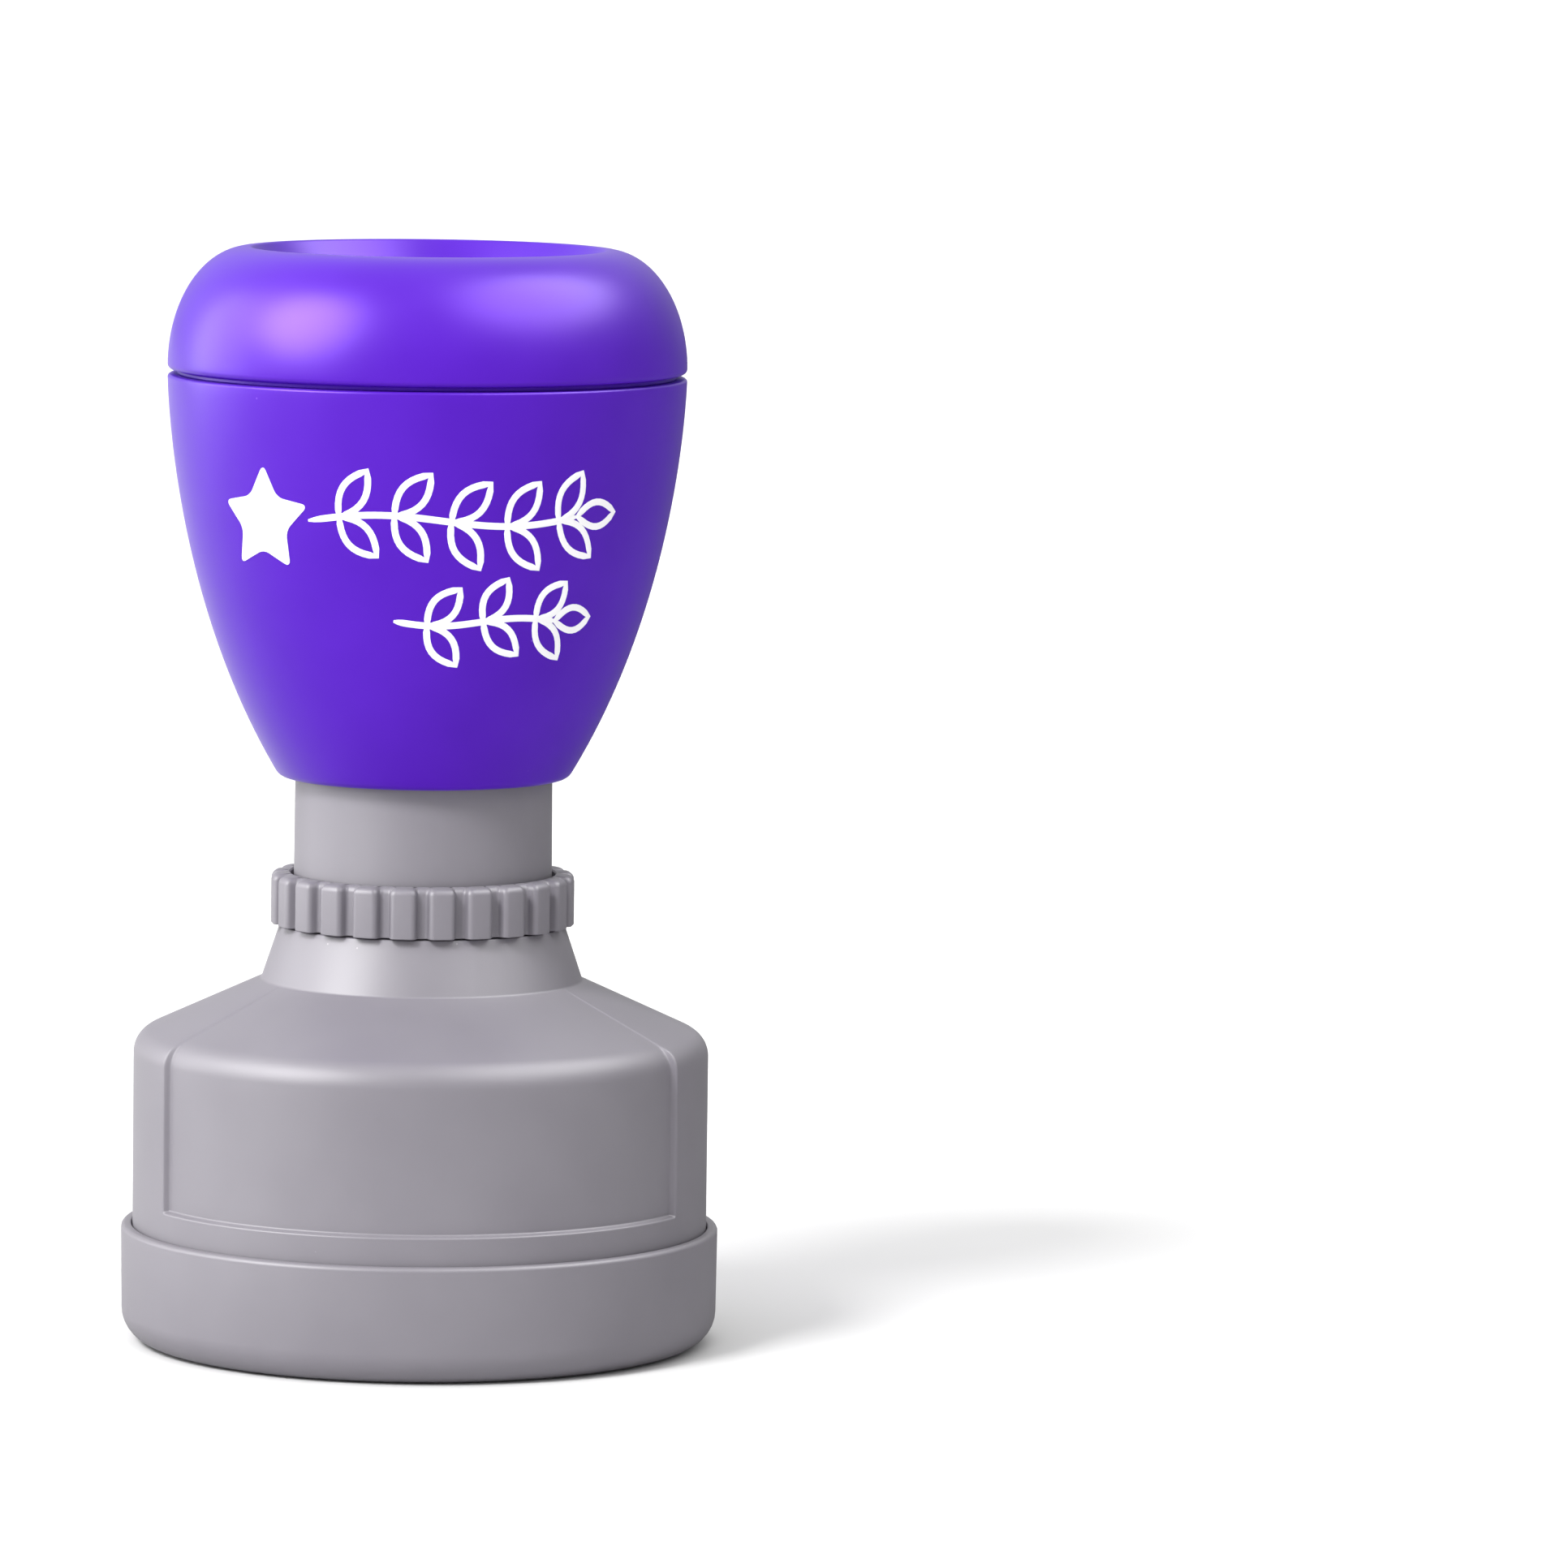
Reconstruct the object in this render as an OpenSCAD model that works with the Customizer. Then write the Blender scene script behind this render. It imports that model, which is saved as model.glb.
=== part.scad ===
// Round pre-inked rubber stamp with a push handle, standing in its dust cap.
// Millimetres, +Z up, origin at the centre of the dust cap's base, front towards -Y.

/* [Dust cap] */
// Outer radius at the dust cap's rim
dust_cap_r = 23; // [22.9:0.1:24]
// Height of the dust cap's rim
dust_cap_h = 9.05; // [8:0.05:10]
// Thickness of the dust cap's floor
dust_cap_floor = 1.4; // [1:0.1:1.6]
// Height of the ledge that the sleeve stands on
ledge_z = 2.2; // [2:0.1:2.4]

/* [Outer sleeve] */
// Outer radius of the skirt
skirt_r = 22.12; // [22.1:0.01:22.13]
// Wall thickness of the skirt and shoulder
skirt_wall = 1.52; // [1.4:0.01:1.55]
// Depth of the front and back panels on the skirt
panel_depth = 0.45; // [0.2:0.05:0.6]
// Half of the angle that a panel covers
panel_half_angle = 61.5; // [40:0.5:75]
// Height of the panels' bottom ledge
panel_z = 11.25; // [10.5:0.05:14]
// Outer radius of the neck column
neck_r = 9.87; // [9.8:0.01:9.9]
// Top of the neck column
neck_top_z = 53; // [50:0.5:53]

/* [Adjusting ring] */
// Radius over the teeth
ring_tip_r = 11.7; // [11.5:0.05:12]
// Radius between the teeth
ring_valley_r = 10.95; // [10.9:0.05:11.2]
// Number of teeth
ring_teeth = 24; // [16:1:32]
// Bottom of the ring
ring_z = 32.4; // [32.3:0.05:32.6]
// Height of the ring
ring_h = 3.9; // [3.5:0.1:4]

/* [Handle] */
// Underside of the handle
handle_z = 43.7; // [43.6:0.05:44]
// Outer radius at the handle's seam
handle_r = 19.87; // [19.8:0.01:20]
// Height of the cup's rim, just below the seam
handle_rim_z = 74.5; // [74.4:0.05:74.6]
// Top of the handle cap's lip
handle_top_z = 84.26; // [84:0.02:85]
// Wall thickness of the handle cup and cap
handle_wall = 1.6; // [1.4:0.05:1.7]
// Depth of the thumb dish in the cap
dish_depth = 2.9; // [1:0.1:3.5]

/* [Plunger and die] */
// Radius of the plunger stem
stem_r = 4; // [3.8:0.05:4]
// Press travel
travel = 7; // [6:0.1:7]
// Height of the die's printing face at rest
die_z = 8.9; // [8.8:0.05:9.2]
// Height of the die's raised design
relief_h = 0.6; // [0.4:0.1:0.6]
// Wire diameter of the return spring
wire_d = 0.9; // [0.7:0.1:1]
// Turns of the return spring
spring_turns = 9; // [6:1:10]

/* [Hidden] */
$fn = 96;

grey = [0.65, 0.64, 0.67];
purple = [0.38, 0.16, 0.80];
white = [0.93, 0.93, 0.91];
steel = [0.72, 0.73, 0.75];
black = [0.12, 0.12, 0.13];
violet_rubber = [0.46, 0.40, 0.62];

slip = 0.08;            // running clearance between sliding faces, on radius
seat = 0.03;            // clearance between pieces fixed together, on radius
eps = 0.01;             // overshoot of a cutting tool

// Dust cap
dust_cap_base_r = 22.9;
dust_cap_bore_r = skirt_r + slip;
dust_cap_corner = 2.5;
rim_edge = 0.35;

// Sleeve
skirt_in_r = skirt_r - skirt_wall;
shoulder_pitch = 24.7;  // slope of the shoulder above the horizontal
shoulder_corner_z = 23.57;
shoulder_fillet = 2;
panel_fillet = 2.4;
panel_depth_cone = 0.12;
collar_base_z = 28.06;
collar_base_r = skirt_r - (collar_base_z - shoulder_corner_z) / tan(shoulder_pitch);
collar_top_z = 31.9;
collar_top_r = 10.8;
collar_in_r = 10.8;
thread_r = 10.1;
thread_top_z = 35;
web_z = 32;
web_h = 3;
web_in_r = 9.3;
neck_in_r = 8.4;

// Ring
tooth_share = 0.64;     // a tooth's share of the pitch
tooth_foot_turn = 0.7;  // degrees that a tooth's foot is wider at each side
tooth_crown_turn = 1.2; // degrees that its rounded crown is narrower
tooth_crown_drop = 0.25;
ring_edge = 0.35;

// Handle
guide_r = neck_r + slip;
guide_wall = 1.45;
guide_web_z = handle_z + 16.8;
guide_web_h = 2;
socket_r = 18.28;
socket_z = 69;
cavity_floor_z = 50;
seam = 0.5;
land_r = 18.9;
cap_lip_r = 13.75;

// Plunger
thread_m = 3;
stem_bottom_z = 17.4;
stem_top_z = 69;
shoulder_z = guide_web_z;
collar_z = 28;
collar_h = 2;
collar_r = 6.8;
fin_w = 2;
fin_r = 5.2;
ink_r = 1.4;
plug_r = 1.9;
plug_depth = 4.5;
nut_washer_r = 6.2;
nut_washer_h = 0.8;

// Spring, between its two washers
spring_washer_r = 8;
spring_washer_h = 1;
spring_r = 6.6;
spring_z = web_z + web_h + spring_washer_h;
spring_top_z = guide_web_z - spring_washer_h;
close_turn = 0.98;      // height of the wire's section, so that close turns stay apart

// Die stack
face_z = die_z + relief_h;
flange_z = face_z + 1;
plate_z = flange_z + 1;
pad_z = plate_z + 1;
holder_floor_z = pad_z + 2.3;
holder_top_z = holder_floor_z + 1.6;
holder_r = 20.3;
holder_wall_r = 19.45;
plate_r = 18.05;
pad_r = 17.1;
die_r = 17.2;
die_flange_r = 19.4;
clamp_in_r = 17.35;

// Points of an arc about (r, z), from angle a0 to a1
function arc(r, z, radius, a0, a1, steps = 6) =
    [for (i = [0:steps]) let (a = a0 + (a1 - a0) * i / steps)
        [r + radius * cos(a), z + radius * sin(a)]];

// Points of a cubic curve through four control points
function curve(p, steps = 14) =
    [for (i = [0:steps]) let (t = i / steps, u = 1 - t)
        u * u * u * p[0] + 3 * u * u * t * p[1] + 3 * u * t * t * p[2] + t * t * t * p[3]];

function inset(points, d) = [for (p = points) [p[0] - d, p[1]]];

function polar(radius, angle) = [radius * cos(angle), radius * sin(angle)];

module turned(points) {
    rotate_extrude() polygon(points);
}

module disc(radius, z, h) {
    translate([0, 0, z]) cylinder(r = radius, h = h);
}

module washer(r_in, r_out, z, h) {
    difference() {
        disc(r_out, z, h);
        disc(r_in, z - eps, h + 2 * eps);
    }
}

module dust_cap() {
    color(grey) turned(concat(
        [[0, 0]],
        arc(dust_cap_base_r - dust_cap_corner, dust_cap_corner, dust_cap_corner, -90, 0),
        arc(dust_cap_r - rim_edge, dust_cap_h - rim_edge, rim_edge, 0, 90, 3),
        [[dust_cap_bore_r + 0.1, dust_cap_h],
         [dust_cap_bore_r, dust_cap_h - 0.1],
         [dust_cap_bore_r, ledge_z],
         [skirt_in_r, ledge_z],
         [skirt_in_r, dust_cap_floor],
         [0, dust_cap_floor]]));
}

// Outer line of the sleeve from the skirt up to the collar, sunk by d on the skirt
// and by d_cone on the shoulder
function shoulder_line(fillet, d, d_cone) =
    let (r = skirt_r - d,
         drop = d_cone / cos(shoulder_pitch),
         corner_z = shoulder_corner_z - drop + d * tan(shoulder_pitch),
         reach = fillet * tan((90 - shoulder_pitch) / 2))
    concat(
        arc(r - fillet, corner_z - reach, fillet, 0, 90 - shoulder_pitch),
        [[collar_base_r + d_cone, collar_base_z - drop - d_cone * tan(shoulder_pitch)]]);

module sleeve_body() {
    roof_z = shoulder_corner_z - skirt_wall / cos(shoulder_pitch);
    turned(concat(
        [[skirt_in_r, ledge_z], [skirt_r, ledge_z]],
        shoulder_line(shoulder_fillet, 0, 0),
        [[collar_top_r, collar_top_z],
         [thread_r, collar_top_z],
         [thread_r, thread_top_z],
         [neck_r, thread_top_z + 0.25],
         [neck_r, neck_top_z - 0.5],
         [neck_r - 0.5, neck_top_z],
         [neck_in_r, neck_top_z],
         [neck_in_r, web_z + web_h],
         [stem_r + slip, web_z + web_h],
         [stem_r + slip, web_z],
         [web_in_r, web_z],
         [collar_in_r, roof_z + (skirt_r - collar_in_r) * tan(shoulder_pitch)],
         [skirt_in_r, roof_z + (skirt_r - skirt_in_r) * tan(shoulder_pitch)]]));
}

// What is cut away to sink one panel, which runs up the skirt and over the shoulder
module panel_cut() {
    rotate([0, 0, -90 - panel_half_angle]) rotate_extrude(angle = 2 * panel_half_angle)
        polygon(concat(
            [[skirt_r - panel_depth, panel_z]],
            shoulder_line(panel_fillet, panel_depth, panel_depth_cone),
            [[collar_base_r + 0.3, collar_base_z + 0.5],
             [skirt_r + 2, collar_base_z + 0.5],
             [skirt_r + 2, panel_z]]));
}

// Slots through the web for the stem's two fins
module fin_slots() {
    slot_r = fin_r + 0.15;
    translate([-slot_r, -fin_w / 2 - 0.1, web_z - 0.5])
        cube([2 * slot_r, fin_w + 0.2, web_h + 1]);
}

module outer_sleeve() {
    color(grey) difference() {
        sleeve_body();
        panel_cut();
        rotate([0, 0, 180]) panel_cut();
        fin_slots();
    }
}

// Outline of the ring, with a valley at the front
function ring_outline() =
    let (pitch = 360 / ring_teeth, half = pitch * tooth_share / 2)
    [for (i = [0:ring_teeth - 1]) let (a = -90 + (i + 0.5) * pitch)
        each [polar(ring_valley_r, a - half - tooth_foot_turn),
              polar(ring_tip_r - tooth_crown_drop, a - half),
              polar(ring_tip_r, a - half + tooth_crown_turn),
              polar(ring_tip_r, a + half - tooth_crown_turn),
              polar(ring_tip_r - tooth_crown_drop, a + half),
              polar(ring_valley_r, a + half + tooth_foot_turn)]];

module adjusting_ring() {
    bore_r = thread_r + slip;
    color(grey) intersection() {
        translate([0, 0, ring_z]) linear_extrude(ring_h) polygon(ring_outline());
        turned([[bore_r, ring_z],
                [ring_tip_r + 0.1, ring_z],
                [ring_tip_r + 0.1, ring_z + ring_h - ring_edge],
                [ring_tip_r - ring_edge, ring_z + ring_h],
                [bore_r, ring_z + ring_h]]);
    }
}

// Side of the handle cup, from its underside to its rim
handle_side = curve([[11.1, handle_z], [18.2, 55.3], [19.7, 69], [handle_r, handle_rim_z]]);
handle_mid_side = [for (p = handle_side) if (p[1] > cavity_floor_z && p[1] < socket_z) p];

// Radius of the cup's side at a height, between its points
function side_r(z) = lookup(z, [for (p = handle_side) [p[1], p[0]]]);

module cup_cavity() {
    difference() {
        turned(concat(
            [[0, cavity_floor_z], [side_r(cavity_floor_z) - handle_wall, cavity_floor_z]],
            inset(handle_mid_side, handle_wall),
            [[side_r(socket_z) - handle_wall, socket_z + eps], [0, socket_z + eps]]));
        disc(guide_r + guide_wall, cavity_floor_z - 1, guide_web_z + guide_web_h - cavity_floor_z + 1);
    }
}

module handle_cup() {
    side = [for (p = handle_side) if (p[1] > handle_z + 0.5 && p[1] < handle_rim_z - 0.5) p];
    foot_r = 11.2;
    color(purple) difference() {
        turned(concat(
            [[0, handle_z], [foot_r - 0.3, handle_z], [foot_r, handle_z + 0.1]],
            side,
            [[handle_r, handle_rim_z - 0.35], [handle_r - 0.1, handle_rim_z - 0.1],
             [handle_r - 0.35, handle_rim_z], [0, handle_rim_z]]));
        cup_cavity();
        disc(socket_r, socket_z, handle_rim_z);
        disc(guide_r, handle_z - 1, guide_web_z - handle_z + 1);
        disc(thread_m + seat, guide_web_z - 1, guide_web_h + 2);
    }
}

module handle_cap() {
    tenon_r = socket_r - slip;
    skirt_z = handle_rim_z + seam;
    tenon_z = socket_z + 1;
    dome_r = handle_r - cap_lip_r;
    dome_z = skirt_z + 0.3;
    dome_h = handle_top_z - dome_z;
    dome = [for (a = [0:10:90]) [cap_lip_r + dome_r * cos(a), dome_z + dome_h * sin(a)]];
    inner = [for (a = [80:-20:0])
        [cap_lip_r + (dome_r - handle_wall) * cos(a), dome_z + (dome_h - 2) * sin(a)]];
    dish_z = handle_top_z - dish_depth;
    dish_r = 8;
    dish = curve([[cap_lip_r - 0.3, handle_top_z], [cap_lip_r - 1.6, handle_top_z - 0.2],
                  [dish_r, dish_z], [0, dish_z]], 10);
    color(purple) turned(concat(
        [[tenon_r - handle_wall, tenon_z], [tenon_r - 0.3, tenon_z], [tenon_r, tenon_z + 0.3],
         [tenon_r, handle_rim_z], [land_r, handle_rim_z], [land_r, skirt_z],
         [handle_r - 0.5, skirt_z]],
        dome, dish,
        [[0, dish_z - handle_wall], [dish_r, dish_z - handle_wall]],
        inner,
        [[tenon_r - handle_wall, dome_z - 0.5]]));
}

module plunger_stem() {
    fin_top_z = web_z + web_h + travel + 1.5;
    color(white) difference() {
        union() {
            disc(stem_r, stem_bottom_z, shoulder_z - stem_bottom_z);
            disc(thread_m, shoulder_z - 1, stem_top_z - shoulder_z + 1);
            disc(collar_r, collar_z, collar_h);
            translate([-fin_r, -fin_w / 2, collar_z + 1])
                cube([2 * fin_r, fin_w, fin_top_z - collar_z - 1]);
        }
        disc(ink_r, stem_bottom_z - 1, stem_top_z - stem_bottom_z + 2);
        disc(plug_r, stem_top_z - plug_depth, plug_depth + 1);
    }
}

// Height of the wire's centre after a share of the spring's length: its end turns lie close
function wire_z(s) =
    let (turn = s * spring_turns, low = spring_z + wire_d / 2, high = spring_top_z - wire_d / 2,
         open_h = high - low - 2 * wire_d, open_turns = spring_turns - 2)
    turn < 1 ? low + wire_d * turn
    : turn > spring_turns - 1 ? high - wire_d * (spring_turns - turn)
    : low + wire_d + open_h * (turn - 1) / open_turns;

module return_spring() {
    sides = 8;
    rings = spring_turns * 24;
    points = [for (i = [0:rings], j = [0:sides - 1])
        let (a = 360 * spring_turns * i / rings, b = 360 * j / sides,
             r = spring_r + wire_d / 2 * cos(b))
        [r * cos(a), r * sin(a), wire_z(i / rings) + close_turn * wire_d / 2 * sin(b)]];
    walls = [for (i = [0:rings - 1], j = [0:sides - 1]) let (k = (j + 1) % sides)
        [i * sides + j, i * sides + k, (i + 1) * sides + k, (i + 1) * sides + j]];
    start = [[for (j = [sides - 1:-1:0]) j]];
    end = [[for (j = [0:sides - 1]) rings * sides + j]];
    color(steel) polyhedron(points, concat(walls, start, end));
}

module lower_spring_washer() {
    color(white) washer(fin_r + 0.3, spring_washer_r, web_z + web_h, spring_washer_h);
}

module upper_spring_seat() {
    hub_r = 5.6;
    hub_h = 3;
    color(white) union() {
        washer(stem_r + seat, spring_washer_r, spring_top_z, spring_washer_h);
        washer(stem_r + seat, hub_r, guide_web_z - hub_h, hub_h - spring_washer_h / 2);
    }
}

module stop_bumper() {
    bumper_z = collar_z + collar_h;
    color(black) washer(fin_r + 0.1, collar_r, bumper_z, web_z - bumper_z - 0.1);
}

module nut_washer() {
    color(steel) washer(thread_m + seat, nut_washer_r, guide_web_z + guide_web_h, nut_washer_h);
}

module stem_nut() {
    flats = 10;
    nut_h = 4.8;
    nut_z = guide_web_z + guide_web_h + nut_washer_h;
    color(steel) difference() {
        translate([0, 0, nut_z]) cylinder(r = flats / 2 / cos(30), h = nut_h, $fn = 6);
        disc(thread_m + seat, nut_z - 1, nut_h + 2);
    }
}

module filler_plug() {
    head_r = 3.2;
    head_h = 1.2;
    tab_r = 1.3;
    tab_h = 2;
    color(black) union() {
        disc(plug_r - 0.05, stem_top_z - plug_depth + 0.5, plug_depth);
        disc(head_r, stem_top_z, head_h);
        disc(tab_r, stem_top_z + head_h - 0.2, tab_h + 0.2);
    }
}

module die_holder() {
    hub_r = 7;
    hub_h = 9.2;
    rib = [11, 1.2, 4.2];
    color(white) difference() {
        union() {
            disc(holder_wall_r, plate_z, holder_top_z - plate_z);
            disc(holder_r, holder_floor_z, holder_top_z - holder_floor_z);
            disc(hub_r, holder_floor_z, hub_h);
            for (i = [0:5]) rotate([0, 0, i * 60 + 30])
                translate([hub_r - 1, -rib.y / 2, holder_floor_z + 0.5]) cube(rib);
        }
        disc(plate_r + 0.05, plate_z - 1, pad_z - plate_z + 1);
        disc(pad_r + 0.1, pad_z - 0.5, holder_floor_z - pad_z + 0.5);
        disc(ink_r, holder_floor_z - 1, 5);
        disc(stem_r + seat, stem_bottom_z, 10);
    }
}

module ink_pad() {
    color([0.36, 0.20, 0.62]) disc(pad_r, pad_z, holder_floor_z - pad_z);
}

module pressure_plate() {
    hole_r = 0.8;
    hole_pitch = 3.8;
    color(white) difference() {
        disc(plate_r, plate_z, pad_z - plate_z);
        for (ring = [1:4], i = [0:ring * 6 - 1]) rotate([0, 0, i * 60 / ring])
            translate([ring * hole_pitch, 0, 0]) disc(hole_r, plate_z - 1, 3, $fn = 24);
    }
}

// Petals round a centre, inside a ring of dots and a plain border
module die_design() {
    border_r = [15.6, 16.5];
    dot_ring_r = 13.4;
    petal_ring_r = 7.2;
    petal_r = [1.7, 2.9];
    h = relief_h + 0.2;
    washer(border_r[0], border_r[1], die_z, h);
    for (i = [0:23]) rotate([0, 0, i * 15]) translate([dot_ring_r, 0, 0])
        disc(0.7, die_z, h, $fn = 24);
    for (i = [0:5]) rotate([0, 0, i * 60 + 30]) translate([petal_ring_r, 0, 0])
        washer(petal_r[0], petal_r[1], die_z, h);
    disc(2.6, die_z, h);
}

module stamp_die() {
    color(violet_rubber) union() {
        disc(die_flange_r, flange_z, plate_z - flange_z);
        disc(die_r, face_z, flange_z - face_z + 0.5);
        die_design();
    }
}

module die_ring() {
    lip_z = face_z + 0.2;
    lip_edge = 0.4;
    color(black) turned([
        [clamp_in_r, lip_z], [holder_r - lip_edge, lip_z], [holder_r, lip_z + lip_edge],
        [holder_r, holder_floor_z], [holder_wall_r + seat, holder_floor_z],
        [holder_wall_r + seat, flange_z], [clamp_in_r, flange_z]]);
}

dust_cap();
outer_sleeve();
adjusting_ring();
handle_cup();
handle_cap();
plunger_stem();
return_spring();
lower_spring_washer();
upper_spring_seat();
stop_bumper();
nut_washer();
stem_nut();
filler_plug();
die_holder();
ink_pad();
pressure_plate();
stamp_die();
die_ring();
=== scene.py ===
"""Looks of a round pre-inked rubber stamp that stands in its dust cap.

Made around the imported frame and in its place. Sizes are in millimetres, and MM makes them metres.
"""

import math

import bmesh
import bpy
from mathutils import Matrix, Quaternion, Vector


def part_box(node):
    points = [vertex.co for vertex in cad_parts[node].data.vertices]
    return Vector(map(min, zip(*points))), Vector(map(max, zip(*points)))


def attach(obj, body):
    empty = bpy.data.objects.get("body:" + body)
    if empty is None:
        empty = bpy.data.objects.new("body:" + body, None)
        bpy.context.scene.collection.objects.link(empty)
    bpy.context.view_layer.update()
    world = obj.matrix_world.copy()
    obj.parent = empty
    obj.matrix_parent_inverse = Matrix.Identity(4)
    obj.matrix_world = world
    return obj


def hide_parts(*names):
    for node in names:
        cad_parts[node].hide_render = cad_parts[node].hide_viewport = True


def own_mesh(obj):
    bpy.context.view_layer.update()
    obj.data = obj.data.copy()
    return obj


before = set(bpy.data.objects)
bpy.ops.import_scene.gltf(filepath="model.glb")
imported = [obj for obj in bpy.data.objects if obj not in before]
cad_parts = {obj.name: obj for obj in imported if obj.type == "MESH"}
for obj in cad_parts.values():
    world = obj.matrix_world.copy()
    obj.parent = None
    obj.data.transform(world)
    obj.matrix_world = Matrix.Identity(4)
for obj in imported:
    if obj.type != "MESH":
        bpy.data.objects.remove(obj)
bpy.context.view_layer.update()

MM = 0.001
AROUND = 240  # steps of a full turn, which puts a column on each edge of the sunk panels
ARC_STEP = math.radians(11)
SMOOTH = math.radians(32)
SMOOTH_SLEEVE = math.radians(50)
DOUBLES = 2e-6  # metres within which doubles are merged
DRIFT_SPAN = (0.3, 0.7)  # the range of a noise's values that counts as its whole swing


def reach(node):
    """Lowest and highest corner of a CAD node, in millimetres."""
    low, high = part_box(node)
    return low / MM, high / MM


# Driving sizes, in millimetres
cap_high = reach("dust_cap")[1]
sleeve_low, sleeve_high = reach("outer_sleeve")
ring_low, ring_high = reach("adjusting_ring")
cup_low, cup_high = reach("handle_cup")
top_low, top_high = reach("handle_cap")
nut_low, nut_high = reach("stem_nut")
plug_low, plug_high = reach("filler_plug")
clamp_low, clamp_high = reach("die_ring")
spring_low, spring_high = reach("return_spring")

skirt_r = sleeve_high.x
skirt_wall = 1.52
skirt_in_r = skirt_r - skirt_wall
shoulder_slope = math.radians(24.7)
shoulder_corner_z = 23.57
collar_base_z = 28.06
collar_base_r = skirt_r - (collar_base_z - shoulder_corner_z) / math.tan(shoulder_slope)
collar_top_r, collar_top_z = 10.95, 32.28
thread_r = 10.1
neck_r = 9.87
neck_draft = 0.05
neck_in_r = 8.4
web_z = 32.0
web_top_z = 35.0
stem_bore_r = 4.08
panel_half_angle = math.radians(61.5)
panel_half_step = math.radians(0.46)  # half the width of the step at a panel's side
panel_z = 11.25  # foot of the sunk panels
handle_r = cup_high.x
seam = 0.38
lip_r = 13.75
handle_wall = 1.6


# ---------------------------------------------------------------- camera, floor and light

def look_from(place, target):
    """Turn of a camera or light at place that points it at target."""
    return (Vector(target) - Vector(place)).to_track_quat("-Z", "Y")


def add_camera():
    place = Vector((0, -740, 121.9)) * MM
    aim = Vector((0, 0, 40.95)) * MM
    aside, below, lean = 0.03723, 0.00285, 0.0095
    turn = look_from(place, aim)
    turn = turn @ Quaternion((0, 0, 1), lean)
    turn = turn @ Quaternion((0, 1, 0), -aside)
    turn = turn @ Quaternion((1, 0, 0), below)
    bpy.ops.object.camera_add(location=place, rotation=turn.to_euler())
    camera = bpy.context.object
    camera.data.lens = 222.2
    camera.data.sensor_width = 36
    camera.data.clip_start = 0.01
    bpy.context.scene.camera = camera


def add_light(name, kind, place, energy, **settings):
    """A lamp at a place in millimetres that points at the middle of the stamp."""
    place = Vector(place) * MM
    turn = look_from(place, (0, 0, 0.05))
    bpy.ops.object.light_add(type=kind, location=place, rotation=turn.to_euler())
    lamp = bpy.context.object
    lamp.name = name
    lamp.data.energy = energy
    for setting, value in settings.items():
        setattr(lamp.data, setting, value)
    return lamp


def add_sky():
    """Soft white surround, brightest on the left and overhead."""
    world = bpy.data.worlds.new("studio")
    bpy.context.scene.world = world
    world.use_nodes = True
    nodes, links = world.node_tree.nodes, world.node_tree.links
    sky, out = nodes["Background"], nodes["World Output"]
    sky.inputs["Color"].default_value = (0.985, 0.985, 0.98, 1)
    place = nodes.new("ShaderNodeTexCoord")
    split = nodes.new("ShaderNodeSeparateXYZ")
    fade = nodes.new("ShaderNodeMapRange")
    fade.inputs["From Min"].default_value = -1
    fade.inputs["To Min"].default_value = 0.9
    fade.inputs["To Max"].default_value = 0.1
    rise = nodes.new("ShaderNodeMapRange")
    both = nodes.new("ShaderNodeMath")
    links.new(place.outputs["Generated"], split.inputs["Vector"])
    links.new(split.outputs["X"], fade.inputs["Value"])
    links.new(split.outputs["Z"], rise.inputs["Value"])
    links.new(fade.outputs["Result"], both.inputs[0])
    links.new(rise.outputs["Result"], both.inputs[1])
    links.new(both.outputs[0], sky.inputs["Strength"])
    backdrop = nodes.new("ShaderNodeBackground")
    backdrop.inputs["Color"].default_value = (1, 1, 1, 1)
    seen = nodes.new("ShaderNodeLightPath")
    mix = nodes.new("ShaderNodeMixShader")
    links.new(seen.outputs["Is Camera Ray"], mix.inputs["Fac"])
    links.new(sky.outputs["Background"], mix.inputs[1])
    links.new(backdrop.outputs["Background"], mix.inputs[2])
    links.new(mix.outputs["Shader"], out.inputs["Surface"])


def add_studio():
    bpy.context.scene.view_settings.view_transform = "Standard"
    add_sky()
    key = add_light("key_left", "SUN", (-450, -500, 700), 2.7, angle=math.radians(19))
    key.visible_glossy = False  # the gleams stand for its highlights
    gleams = [("gleam_left", (-560, -300, 440), 22.0, (0.56, 0.56)),
              ("gleam_right", (420, -130, 620), 18.0, (0.95, 0.6)),
              ("gleam_edge", (-680, 190, 150), 7.0, (0.5, 0.8))]
    for name, place, energy, size in gleams:
        gleam = add_light(name, "AREA", place, energy, shape="ELLIPSE",
                          size=size[0], size_y=size[1])
        gleam.visible_diffuse = False
        gleam.visible_camera = False
    floor_width, floor_drop = 60, 0.02 * MM
    bpy.ops.mesh.primitive_plane_add(size=floor_width, location=(0, 0, -floor_drop))
    floor = bpy.context.object
    floor.name = "floor"
    floor.data.materials.append(floor_paper())


# ---------------------------------------------------------------- materials

def new_material(name, colour, rough, metallic=0.0):
    """A Principled material, with its tree and shader."""
    material = bpy.data.materials.new(name)
    material.use_nodes = True
    tree = material.node_tree
    shader = tree.nodes["Principled BSDF"]
    shader.inputs["Base Color"].default_value = (*colour, 1)
    shader.inputs["Roughness"].default_value = rough
    shader.inputs["Metallic"].default_value = metallic
    return material, tree, shader


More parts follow.
